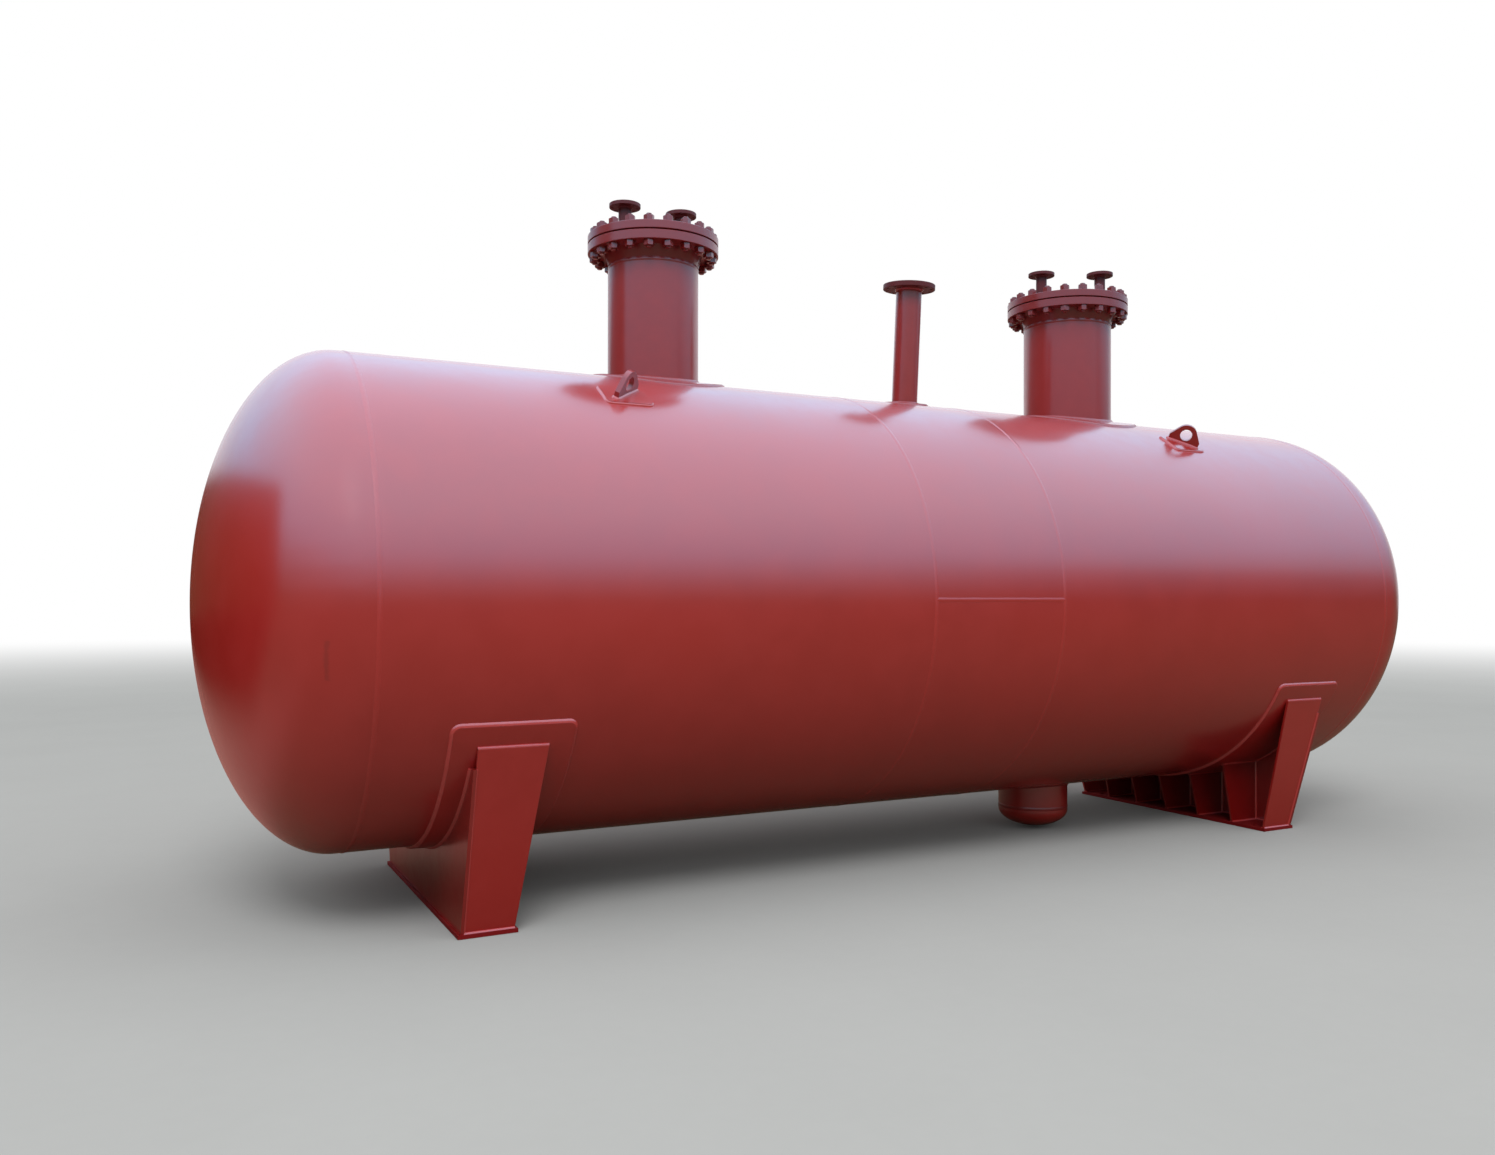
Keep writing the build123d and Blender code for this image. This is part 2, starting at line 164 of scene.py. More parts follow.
# Red oxide paint, semi-gloss, sprayed over the whole tank
paint = {
    "colour": (0.325, 0.0062, 0.0048),
    "paleColour": (0.345, 0.0082, 0.0065),
    "deepColour": (0.300, 0.0050, 0.0040),
    "dustColour": (0.360, 0.040, 0.034),
    "roughness": 0.42,
    "ior": 1.5,
    "coatWeight": 1.0,
    "coatRoughness": 0.20,
    "coatIor": 1.85,
    "cloudsPerMetre": 0.8,  # slow changes from one area to the next
    "cloudsBand": (0.32, 0.68),
    "cloudsSmoother": 0.02,
    "lapsPerMetre": 5.0,  # where one sprayed stroke laps over another
    "lapsBand": (0.35, 0.70),
    "lapsShare": 0.5,
    "lapsHeight": 0.00015,
    "lapsRougher": 0.05,
    "specksPerMetre": 60.0,
    "specksBand": (0.72, 0.78),
    "specksShare": 0.35,
    "dustBand": (0.35, 1.0),  # how far a face looks up: no dust, and full dust
    "dustShare": 0.15,
    "dustRougher": 0.15,
    "rubbedRougher": 0.05,
    "peelPerMetre": 130.0,  # orange peel
    "peelHeight": 0.00010,
    "edgeRadius": 0.0015,  # edges catch the light as if they were rounded this much
    "marks": (),  # rubbed streaks
}


def paintMaterial(name, changes):
    look = {**paint, **changes}
    material, tree = newMaterial(name)
    place = tree.node("ShaderNodeTexCoord").other("Object")
    geometry = tree.node("ShaderNodeNewGeometry")
    normal = tree.node("ShaderNodeSeparateXYZ", None, {0: geometry.other("Normal")})
    clouds = tree.band(tree.noise(place, look["cloudsPerMetre"], detail=3.0), *look["cloudsBand"])
    laps = tree.band(tree.noise(place, look["lapsPerMetre"], detail=4.0, roughness=0.6), *look["lapsBand"])
    speckle = tree.noise(place, look["specksPerMetre"], detail=1.0, roughness=0.4)
    specks = tree.band(speckle, *look["specksBand"])
    peel = tree.noise(place, look["peelPerMetre"])
    dust = tree.band(normal.other("Z"), *look["dustBand"]) * laps * look["dustShare"]

    colour = tree.blend(clouds, solid(look["deepColour"]), solid(look["colour"]))
    colour = tree.blend(laps * look["lapsShare"], colour, solid(look["paleColour"]))
    colour = tree.blend(dust, colour, solid(look["dustColour"]))
    colour = tree.blend(specks * look["specksShare"], colour, solid(look["deepColour"]))
    rubbed = 0.0
    for mark in look["marks"]:
        stroke = strokeMask(tree, place, mark)
        colour = tree.blend(stroke * mark["strength"], colour, solid(mark["colour"]))
        rubbed = stroke * mark["strength"] + rubbed

    roughness = look["roughness"] + laps * look["lapsRougher"] + dust * look["dustRougher"]
    roughness = roughness + rubbed * look["rubbedRougher"] - clouds * look["cloudsSmoother"]
    rounded = tree.node("ShaderNodeBevel", {"samples": 4}, {"Radius": look["edgeRadius"]})
    height = peel * look["peelHeight"] + laps * look["lapsHeight"]
    bump = tree.node("ShaderNodeBump", None, {
        "Height": height,
        "Normal": rounded,
        "Distance": 1.0,
        "Strength": 1.0,
    })
    shader = tree.node("ShaderNodeBsdfPrincipled", None, {
        "Base Color": colour,
        "Roughness": roughness,
        "Normal": bump,
        "IOR": look["ior"],
        "Coat Weight": look["coatWeight"],
        "Coat Roughness": look["coatRoughness"],
        "Coat IOR": look["coatIor"],
    })
    tree.node("ShaderNodeOutputMaterial", None, {"Surface": shader})
    return material


# Rubbed streaks on the left head: each is a line between two points of the YZ plane, with a ragged edge
headMarks = [
    {
        "start": (-1.245, 1.443),
        "end": (-1.214, 1.280),
        "width": 0.010,
        "edge": (0.6, 1.4),  # full inside the first share of the width, gone past the second
        "raggedPerMetre": 45.0,
        "strength": 0.55,
        "colour": (0.19, 0.0015, 0.0010),
    },
]


def strokeMask(tree, place, mark):
    start, end = Vector((0, *mark["start"])), Vector((0, *mark["end"]))
    run = end - start
    flat = tree.vector("MULTIPLY", place, (0.0, 1.0, 1.0))
    offset = tree.vector("SUBTRACT", flat, tuple(start))
    share = tree.vector("DOT_PRODUCT", offset, tuple(run), out="Value") / run.length_squared
    inside = tree.node("ShaderNodeClamp", None, {"Value": share})
    nearest = tree.scaled(tuple(run), inside)
    distance = tree.vector("DISTANCE", offset, nearest, out="Value")
    ragged = tree.noise(place, mark["raggedPerMetre"], detail=3.0) * mark["width"]
    full, gone = (mark["width"] * edge for edge in mark["edge"])
    return 1.0 - tree.band(distance + ragged, full, gone)


# Gaskets: dark matt sheet, seen only as a thin line
gasketLook = {
    "colour": (0.030, 0.018, 0.016),
    "paleColour": (0.055, 0.034, 0.030),
    "grainPerMetre": 300.0,
    "grainHeight": 0.0003,
    "roughness": 0.75,
    "grainRougher": 0.15,
}


def gasketMaterial(name):
    material, tree = newMaterial(name)
    place = tree.node("ShaderNodeTexCoord").other("Object")
    grain = tree.noise(place, gasketLook["grainPerMetre"], detail=3.0)
    colour = tree.blend(grain, solid(gasketLook["colour"]), solid(gasketLook["paleColour"]))
    bump = tree.node("ShaderNodeBump", None, {"Height": grain * gasketLook["grainHeight"], "Distance": 1.0})
    shader = tree.node("ShaderNodeBsdfPrincipled", None, {
        "Base Color": colour,
        "Roughness": gasketLook["roughness"] + grain * gasketLook["grainRougher"],
        "Normal": bump,
    })
    tree.node("ShaderNodeOutputMaterial", None, {"Surface": shader})
    return material


# Each finish is the paint with its own changes
paintChanges = {
    "shell": {},
    "leftHead": {"marks": headMarks},
    # painted shade: a darker copy of the paint for the necks, covers and their welds, which sit darker in
    # their light
    "fittingPaintedShade": {
        "colour": (0.245, 0.0070, 0.0072),
        "paleColour": (0.265, 0.0085, 0.0085),
        "deepColour": (0.225, 0.0060, 0.0060),
        "lapsPerMetre": 14.0,
        "coatWeight": 0.6,
    },
    # painted shade: a somewhat darker copy of the paint for the slim nozzle's neck
    "slimNeckPaintedShade": {
        "colour": (0.255, 0.0080, 0.0095),
        "paleColour": (0.275, 0.0095, 0.0110),
        "deepColour": (0.235, 0.0070, 0.0080),
        "lapsPerMetre": 14.0,
    },
    "saddle": {"lapsPerMetre": 9.0, "coatWeight": 0.9, "edgeRadius": 0.006},
    # painted shade: a darker copy of the paint for the saddles' webs and ribs, which lie in the tank's
    # shadow
    "web": {
        "colour": (0.225, 0.0040, 0.0034),
        "paleColour": (0.245, 0.0055, 0.0048),
        "deepColour": (0.205, 0.0034, 0.0028),
        "lapsPerMetre": 9.0,
        "coatWeight": 0.9,
    },
    # painted shade: a darker, matt copy of the paint for the base plates at the foot of the saddles
    "basePlatePaintedShade": {
        "colour": (0.165, 0.0055, 0.0060),
        "paleColour": (0.185, 0.0070, 0.0075),
        "deepColour": (0.140, 0.0045, 0.0050),
        "roughness": 0.85,
        "ior": 1.25,
        "lapsPerMetre": 9.0,
        "coatWeight": 0.0,
    },
    # painted shade: a much darker copy of the paint for the cover nozzles' stubs and their flanges
    "stub": {
        "colour": (0.095, 0.0045, 0.0060),
        "paleColour": (0.110, 0.0055, 0.0070),
        "deepColour": (0.080, 0.0040, 0.0050),
        "roughness": 0.60,
        "lapsPerMetre": 20.0,
        "coatWeight": 0.1,
    },
    # painted shade: a darker copy of the paint for the flanges and covers
    "flange": {
        "colour": (0.190, 0.0075, 0.0085),
        "paleColour": (0.205, 0.0090, 0.0095),
        "deepColour": (0.170, 0.0065, 0.0070),
        "lapsPerMetre": 20.0,
        "coatWeight": 0.5,
    },
    # painted shade: a darker copy of the paint for the studs and nuts
    "bolting": {
        "colour": (0.170, 0.0080, 0.0085),
        "paleColour": (0.190, 0.0100, 0.0100),
        "deepColour": (0.140, 0.0065, 0.0065),
        "lapsPerMetre": 40.0,
        "coatWeight": 0.7,
    },
    # painted highlight: a slightly paler copy of the paint along the girth and course seams
    "seam": {
        "colour": (0.350, 0.0095, 0.0080),
        "paleColour": (0.370, 0.0125, 0.0105),
        "deepColour": (0.330, 0.0075, 0.0060),
        "lapsPerMetre": 30.0,
        "edgeRadius": 0.0005,
    },
    # painted highlight: a paler, pinker copy of the paint along the lug and saddle welds
    "weld": {
        "colour": (0.430, 0.0340, 0.0310),
        "paleColour": (0.460, 0.0430, 0.0400),
        "deepColour": (0.400, 0.0260, 0.0240),
        "lapsPerMetre": 30.0,
        "coatWeight": 0.8,
        "edgeRadius": 0.0005,
    },
}
finishes = {kind: paintMaterial(kind + "Paint", changes) for kind, changes in paintChanges.items()}
finishes["gasket"] = gasketMaterial("gasketSheet")

# How a node's name starts and ends: the first line that fits it gives its finish
nodeFinishes = (
    ("", "gasket", "gasket"),
    ("", "base_plate", "basePlatePaintedShade"),
    ("", "web", "web"),
    ("saddle", "", "saddle"),
    ("head_left", "", "leftHead"),
    ("slim_nozzle_neck", "", "slimNeckPaintedShade"),
    (("shell", "head", "sump"), "", "shell"),
    ("", "_pad", "shell"),
    ("", ("nozzle_a", "nozzle_b", "nozzle_flange"), "stub"),
    ("", ("flange", "cover"), "flange"),
    ("", "", "fittingPaintedShade"),
)
for name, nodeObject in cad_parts.items():
    fits = [kind for start, end, kind in nodeFinishes if name.startswith(start) and name.endswith(end)]
    nodeObject.material_slots[0].material = finishes[fits[0]]
print("materials made:", len(finishes))


# Geometry Nodes: a tree with named inputs, and a plain mesh from its result
def newGeometryTree(name, inputs):
    group = bpy.data.node_groups.new(name, "GeometryNodeTree")
    group.interface.new_socket("Geometry", in_out="INPUT", socket_type="NodeSocketGeometry")
    for label, kind in inputs:
        group.interface.new_socket(label, in_out="INPUT", socket_type="NodeSocket" + kind)
    group.interface.new_socket("Geometry", in_out="OUTPUT", socket_type="NodeSocketGeometry")
    tree = Tree(group)
    start = tree.node("NodeGroupInput")
    return group, tree, start


def closeTree(tree, geometry, material, smooth=True):
    if smooth:
        geometry = tree.node("GeometryNodeSetShadeSmooth", None, {"Geometry": geometry})
    real = tree.node("GeometryNodeRealizeInstances", None, {"Geometry": geometry})
    painted = tree.node("GeometryNodeSetMaterial", None, {"Geometry": real, "Material": material})
    tree.node("NodeGroupOutput", None, {"Geometry": painted})


def faceOutwards(mesh):
    form = bmesh.new()
    form.from_mesh(mesh)
    bmesh.ops.recalc_face_normals(form, faces=form.faces)
    form.to_mesh(mesh)
    form.free()


def plainPiece(name, source, group, values):
    modifier = source.modifiers.new("shape", "NODES")
    modifier.node_group = group
    for item in group.interface.items_tree:
        if item.name in values:
            modifier[item.identifier] = values[item.name]
    evaluated = source.evaluated_get(bpy.context.evaluated_depsgraph_get())
    mesh = bpy.data.meshes.new_from_object(evaluated)
    source.modifiers.remove(modifier)
    bpy.data.objects.remove(source)
    for label in ("root", "toeA", "toeB", "crown", "reach"):  # the bead's own, not needed any more
        if label in mesh.attributes:
            mesh.attributes.remove(mesh.attributes[label])
    faceOutwards(mesh)
    piece = bpy.data.objects.new(name, mesh)
    bpy.context.scene.collection.objects.link(piece)
    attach(piece, "root")
    triangles = sum(len(face.vertices) - 2 for face in mesh.polygons)
    print("piece made:", name, triangles, "triangles")
    return piece


# Weld beads: a bead follows a path, from a toe on one plate to a toe on the other, with even ripples
weldLook = {
    "ripplePitch": 0.009,
    "samplesPerRipple": 3,
    "ripple": 0.30,  # the ripples' height, as a share of the bead's
    "chevron": 0.9,  # how far the middle of a ripple runs ahead of its ends, in ripples
    "wander": 0.16,  # slow changes of the bead's width, as a share of it
    "wanderPerMetre": 9.0,
    "crownPoints": 6,  # points from toe to toe, and one more under the bead
    "butt": {"width": 0.026, "height": 0.0017},
    "fillet": 0.010,
    "bulge": 0.16,
    "toeSink": 0.12,  # the toes lie this share of the crown's height under the plate
    "rootSink": 0.4,  # and the hidden point lies this share under it
    "toeAngle": 50.0,  # edges sharper than this are shaded as edges
}


def weldTree():
    group, tree, start = newGeometryTree("weldBead", [
        ("Pitch", "Float"),
        ("Ripple", "Float"),
        ("Wander", "Float"),
        ("Seed", "Int"),
        ("Paint", "Material"),
    ])

    def attribute(label, kind="FLOAT_VECTOR"):
        return tree.node("GeometryNodeInputNamedAttribute", {"data_type": kind}, {"Name": label})

    def keep(geometry, label, value, kind):
        settings = {"data_type": kind, "domain": "POINT"}
        sockets = {"Geometry": geometry, "Name": label, "Value": value}
        return tree.node("GeometryNodeStoreNamedAttribute", settings, sockets)

    path = tree.node("GeometryNodeMeshToCurve", None, {"Mesh": start.other("Geometry")})
    step = start.other("Pitch") / weldLook["samplesPerRipple"]
    path = tree.node("GeometryNodeResampleCurve", {"mode": "LENGTH"}, {"Curve": path, "Length": step})
    path = keep(path, "root", tree.node("GeometryNodeInputPosition"), "FLOAT_VECTOR")
    path = keep(path, "reach", tree.node("GeometryNodeSplineParameter").other("Length"), "FLOAT")

    sockets = {"Vertices": weldLook["crownPoints"] + 1, "Radius": 0.002}  # its points are placed below
    section = tree.node("GeometryNodeMeshCircle", None, sockets)
    number = tree.node("GeometryNodeInputIndex")
    section = keep(section, "share", number / (weldLook["crownPoints"] - 1), "FLOAT")
    section = tree.node("GeometryNodeMeshToCurve", None, {"Mesh": section})
    sockets = {"Curve": path, "Profile Curve": section, "Fill Caps": True}
    bead = tree.node("GeometryNodeCurveToMesh", None, sockets)

    share = attribute("share", "FLOAT")
    reach = attribute("reach", "FLOAT")
    atRoot = tree.node("FunctionNodeCompare", {"operation": "GREATER_THAN"}, {0: share, 1: 1.01})
    turns = (reach / start.other("Pitch") + share * (1.0 - share) * (4.0 * weldLook["chevron"])) * (2 * pi)
    wave = 1.0 + turns.maths("SINE", turns) * start.other("Ripple")
    uneven = tree.node("ShaderNodeTexNoise", {"noise_dimensions": "4D"}, {
        "Vector": attribute("root"),
        "W": start.other("Seed"),
        "Scale": weldLook["wanderPerMetre"],
        "Detail": 2.0,
    })
    widthShare = 1.0 + (uneven - 0.5) * (2.0 * start.other("Wander"))
    toes = tree.vector(
        "ADD",
        tree.scaled(attribute("toeA"), (1.0 - share) * widthShare),
        tree.scaled(attribute("toeB"), share * widthShare),
    )
    arch = share * (1.0 - share) * 4.0
    rise = arch * arch * (1.0 + weldLook["toeSink"]) * wave * widthShare - weldLook["toeSink"]
    crest = tree.scaled(attribute("crown"), rise)
    surface = tree.vector("ADD", tree.vector("ADD", attribute("root"), toes), crest)
    sunk = tree.vector("SUBTRACT", attribute("root"), tree.scaled(attribute("crown"), weldLook["rootSink"]))
    sockets = {"Switch": atRoot, "False": surface, "True": sunk}
    place = tree.node("GeometryNodeSwitch", {"input_type": "VECTOR"}, sockets)
    bead = tree.node("GeometryNodeSetPosition", None, {"Geometry": bead, "Position": place})
    closeTree(tree, bead, start.other("Paint"))
    return group


beadTree = weldTree()


# One point of a bead's path: its root, and from there the way to either toe and to the crown
def joint(root, toeA, toeB, crown=None):
    if crown is None:  # a fillet bulges between its toes
        crown = (toeA + toeB).normalized() * (weldLook["bulge"] * min(toeA.length, toeB.length))
    return root, toeA, toeB, crown


def weldPiece(name, paths, seed, finish):
    mesh = bpy.data.meshes.new(name + "Path")
    points, edges = [], []
    for closed, path in paths:
        first = len(points)
        points += path
        edges += [(k, k + 1) for k in range(first, len(points) - 1)]
        if closed:
            edges.append((len(points) - 1, first))
    mesh.from_pydata([p[0] for p in points], edges, [])
    for place, label in ((1, "toeA"), (2, "toeB"), (3, "crown")):
        attribute = mesh.attributes.new(label, "FLOAT_VECTOR", "POINT")
        attribute.data.foreach_set("vector", [number for p in points for number in p[place]])
    source = bpy.data.objects.new(name + "Path", mesh)
    bpy.context.scene.collection.objects.link(source)
    values = {
        "Pitch": weldLook["ripplePitch"],
        "Ripple": weldLook["ripple"],
        "Wander": weldLook["wander"],
        "Seed": seed,
        "Paint": finishes[finish],
    }
    piece = plainPiece(name, source, beadTree, values)
    piece.data.set_sharp_from_angle(angle=radians(weldLook["toeAngle"]))


def hoop(centre, axis, radius, steps=120):  # a butt weld round a pipe or the shell
    side = axis.orthogonal().normalized()
    if abs(axis.x) > 0.9:  # a girth seam starts at the back
        side = toBack
    over = axis.cross(side)
    butt = weldLook["butt"]
    path = []
    for k in range(steps):
        outward = side * cos(2 * pi * k / steps) + over * sin(2 * pi * k / steps)
        half = axis * (butt["width"] / 2)
        path.append(joint(centre + outward * radius, -half, half, outward * butt["height"]))
    return True, path


def straight(start, end, toeA, toeB, crown=None, step=0.05):
    pieces = max(1, ceil((end - start).length / step))
    return False, [joint(start.lerp(end, k / pieces), toeA, toeB, crown) for k in range(pieces + 1)]


def circleOutline(radius, steps=96):  # places in a plane, and the outward direction at each
    angles = [2 * pi * k / steps for k in range(steps)]
    return [(radius * cos(angle), radius * sin(angle), cos(angle), sin(angle)) for angle in angles]


def roundedOutline(length, width, corner, sideStep=0.03, cornerSteps=8):
    outline = []
    for quarter, (signU, signV) in enumerate(((1, 1), (-1, 1), (-1, -1), (1, -1))):
        centreU, centreV = signU * (length / 2 - corner), signV * (width / 2 - corner)
        for k in range(cornerSteps + 1):
            angle = (quarter + k / cornerSteps) * pi / 2
            mu, mv = cos(angle), sin(angle)
            outline.append((centreU + corner * mu, centreV + corner * mv, mu, mv))
        run = (width if quarter % 2 else length) - 2 * corner
        parts = max(1, ceil(run / sideStep))
        lastU, lastV, mu, mv = outline[-1]
        for k in range(1, parts):
            outline.append((lastU - mv * run * k / parts, lastV + mu * run * k / parts, mu, mv))
    return outline


# A fillet round the foot of a part that stands on the shell, or on a flat face (surfaceRadius None)
def foot(outline, origin, axisU, axisV, out, surfaceRadius, leg, climb):
    path = []
    for u, v, mu, mv in outline:
        offset = axisU * u + axisV * v
        outward = axisU * mu + axisV * mv
        if surfaceRadius is None:  # a flat face through the origin
            path.append(joint(origin + offset, outward * leg, out * climb))
            continue
        flat = Vector((0, offset.y, offset.z))
        rise = -flat.dot(out) + sqrt(flat.dot(out) ** 2 - flat.length_squared + surfaceRadius**2)
        root = origin + offset + out * rise
        normal = Vector((0, root.y, root.z - tank["axisHeight"])).normalized()
        level = (outward - normal * outward.dot(normal)).normalized()
        path.append(joint(root, level * leg, out * climb))
    return True, path


# Seams of the shell: four girth seams, and one seam along each course, turned from course to course
seamForm = {
    "girthSteps": 360,
    "courseAngles": {"left": 118.0, "middle": 0.6, "right": 152.0},  # degrees above the front, over the top
    "courseSeed": 11,
}


def courseSeam(startX, endX, angle):
    outward = -toBack * cos(radians(angle)) + upright * sin(radians(angle))
    side = alongTank.cross(outward) * (weldLook["butt"]["width"] / 2)
    start, end = (onAxis(x) + outward * tank["radius"] for x in (startX, endX))
    return straight(start, end, -side, side, outward * weldLook["butt"]["height"])


for number, seamX in enumerate(tank["seams"]):
    girth = [hoop(onAxis(seamX), alongTank, tank["radius"], seamForm["girthSteps"])]
    weldPiece("girthWeld" + str(number + 1), girth, number, "seam")
coursePaths = []
for startX, endX, angle in zip(tank["seams"], tank["seams"][1:], seamForm["courseAngles"].values()):
    coursePaths.append(courseSeam(startX, endX, angle))
weldPiece("courseWelds", coursePaths, seamForm["courseSeed"], "seam")


# Welds of the access necks, cover nozzles, slim nozzle and sump
nozzleForm = {
    "padThickness": 0.012,
    "neckLeg": 0.013,
    "stubRadius": 0.038,
    "stubLeg": 0.0095,
    "slimRadius": 0.084,
    "slimAngle": 4.0,  # degrees off the top line, towards the front
    "slimRimRise": 0.0058,  # the leaning rim stands this much over its own middle
    "slimPadLeg": 0.009,
    "sumpLeg": 0.012,
    "seeds": {"left": 24, "right": 25, "slim": 31, "sump": 32},
}
padSurface = tank["radius"] + nozzleForm["padThickness"]
fillet = weldLook["fillet"]
for side in ("left", "right"):
    neck, pad, cover = (side + "_access_" + part for part in ("neck", "pad", "cover"))
    centre = onAxis(middleOf(neck).x)
    neckRadius, padRadius = sizeOf(neck).x / 2, sizeOf(pad).x / 2
    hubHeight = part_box(side + "_access_flange")[0].z
    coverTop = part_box(cover)[1].z
    neckOutline, neckLeg = circleOutline(neckRadius), nozzleForm["neckLeg"]
    padOutline = circleOutline(padRadius, steps=144)
    paths = [
        foot(neckOutline, centre, alongTank, toBack, upright, padSurface, neckLeg, neckLeg),
        foot(padOutline, centre, alongTank, toBack, upright, tank["radius"], fillet, fillet),
        hoop(Vector((centre.x, 0, hubHeight)), upright, neckRadius),
    ]
    for letter in "ab":
        stub = middleOf(side + "_cover_nozzle_" + letter)
        origin = Vector((stub.x, stub.y, coverTop))
        stubOutline, leg = circleOutline(nozzleForm["stubRadius"], steps=40), nozzleForm["stubLeg"]
        paths.append(foot(stubOutline, origin, alongTank, toBack, upright, None, leg, leg))
    weldPiece(side + "NeckWelds", paths, nozzleForm["seeds"][side], "fittingPaintedShade")

slimLean = radians(nozzleForm["slimAngle"])
slimOut = Vector((0, -sin(slimLean), cos(slimLean)))
slimSide = Vector((0, cos(slimLean), sin(slimLean)))
slimCentre = onAxis(middleOf("slim_nozzle_neck").x)
slimOutline = circleOutline(nozzleForm["slimRadius"], steps=64)
slimPadOutline = circleOutline(sizeOf("slim_nozzle_pad").x / 2)
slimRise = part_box("slim_nozzle_neck")[1].z - tank["axisHeight"]
slimTop = slimCentre + slimOut * (slimRise / cos(slimLean) - nozzleForm["slimRimRise"])
slimAxes, slimPadLeg = (alongTank, slimSide, slimOut), nozzleForm["slimPadLeg"]
weldPiece("slimNozzleWelds", [
    foot(slimOutline, slimCentre, *slimAxes, padSurface, fillet, fillet),
    foot(slimPadOutline, slimCentre, *slimAxes, tank["radius"], slimPadLeg, fillet),
    foot(slimOutline, slimTop, alongTank, slimSide, -slimOut, None, fillet, fillet),
], nozzleForm["seeds"]["slim"], "fittingPaintedShade")

sumpX, sumpRadius = middleOf("sump_pipe").x, sizeOf("sump_pipe").x / 2
sumpOutline, sumpLeg = circleOutline(sumpRadius), nozzleForm["sumpLeg"]
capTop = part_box("sump_cap")[1].z
weldPiece("sumpWelds", [
    foot(sumpOutline, onAxis(sumpX), alongTank, toBack, -upright, tank["radius"], sumpLeg, sumpLeg),
    hoop(Vector((sumpX, 0, capTop)), upright, sumpRadius),
], nozzleForm["seeds"]["sump"], "fittingPaintedShade")
print("nozzle welds made")


# Lifting lugs: a fillet round the foot of each plate and round each pad
lugForm = {
    "x": 2.050,
    "angle": 33.5,  # degrees off the top line
    "turn": 42.0,  # degrees that the plate turns from the tank's length
    "padLength": 0.260,
    "padWidth": 0.200,
    "padCorner": 0.030,
    "padLeg": 0.008,
    "footLength": 0.206,
    "thickness": 0.028,
    "footCorner": 0.002,
    "footLeg": 0.012,
    "seed": 41,
}
lugPaths = []
lean, turn = radians(lugForm["angle"]), radians(lugForm["turn"])
padOutline = roundedOutline(lugForm["padLength"], lugForm["padWidth"], lugForm["padCorner"])
footSizes = (lugForm["footLength"], lugForm["thickness"], lugForm["footCorner"])
plateOutline, footLeg = roundedOutline(*footSizes, cornerSteps=3), lugForm["footLeg"]
for end, side in ((-1, -1), (-1, 1), (1, -1), (1, 1)):
    lugOut = Vector((0, side * sin(lean), cos(lean)))
    around = Vector((0, -side * cos(lean), sin(lean)))
    alongPlate = -end * alongTank * cos(turn) + around * sin(turn)
    acrossPlate = lugOut.cross(alongPlate)
    centre = onAxis(end * lugForm["x"])
    padAxes, plateAxes = (alongTank, around, lugOut), (alongPlate, acrossPlate, lugOut)
    lugPaths.append(foot(padOutline, centre, *padAxes, tank["radius"], lugForm["padLeg"], fillet))
    lugPaths.append(foot(plateOutline, centre, *plateAxes, padSurface, footLeg, footLeg))
weldPiece("lugWelds", lugPaths, lugForm["seed"], "weld")


# Saddles: welds of wear plate, web, ribs, end plates and base plate
saddleForm = {
    "wearAngle": 64.4,  # degrees from straight down to the end of the wear plate
    "wearCorner": 0.035,
    "webThickness": 0.016,
    "webLedge": 0.008,
    "endThickness": 0.016,
    "ribThickness": 0.014,
    "ribSpacing": 0.300,
    "ribFootWidth": 0.251,
    "ribTopWidth": 0.340,
    "footHalfLength": 0.875,
    "leg": 0.009,
    "webLeg": 0.0117,
    "edgeLeg": 0.014,
    "edgeFill": 0.92,  # a weld on a plate's edge climbs this share of it
    "ledgeFill": 0.9,
    "snipPast": 0.001,
    "arcStep": 1.5,
    "seeds": {"left": 51, "right": 52},
}


def wearPoint(x, angle, radius):  # angle from straight down, to the back
    return onAxis(x) + radius * (toBack * sin(angle) - upright * cos(angle))


def wearOutline(x, width, radius, leg, climb):
    reach = 2 * radians(saddleForm["wearAngle"]) * radius
    path = []
    for u, v, mu, mv in roundedOutline(width, reach, saddleForm["wearCorner"]):
        angle = v / radius
        tangent = toBack * cos(angle) + upright * sin(angle)
        radial = toBack * sin(angle) - upright * cos(angle)
        outward = alongTank * mu + tangent * mv
        path.append(joint(wearPoint(x + u, angle, radius), outward * leg, radial * climb))
    return True, path


def wearArc(x, firstAngle, lastAngle, radius, away, leg):  # where the web meets the wear plate
    steps = max(2, ceil(abs(lastAngle - firstAngle) / radians(saddleForm["arcStep"])))
    path = []
    for k in range(steps + 1):
        angle = firstAngle + (lastAngle - firstAngle) * k / steps
        radial = toBack * sin(angle) - upright * cos(angle)
        path.append(joint(wearPoint(x, angle, radius), alongTank * (away * leg), radial * leg))
    return False, path


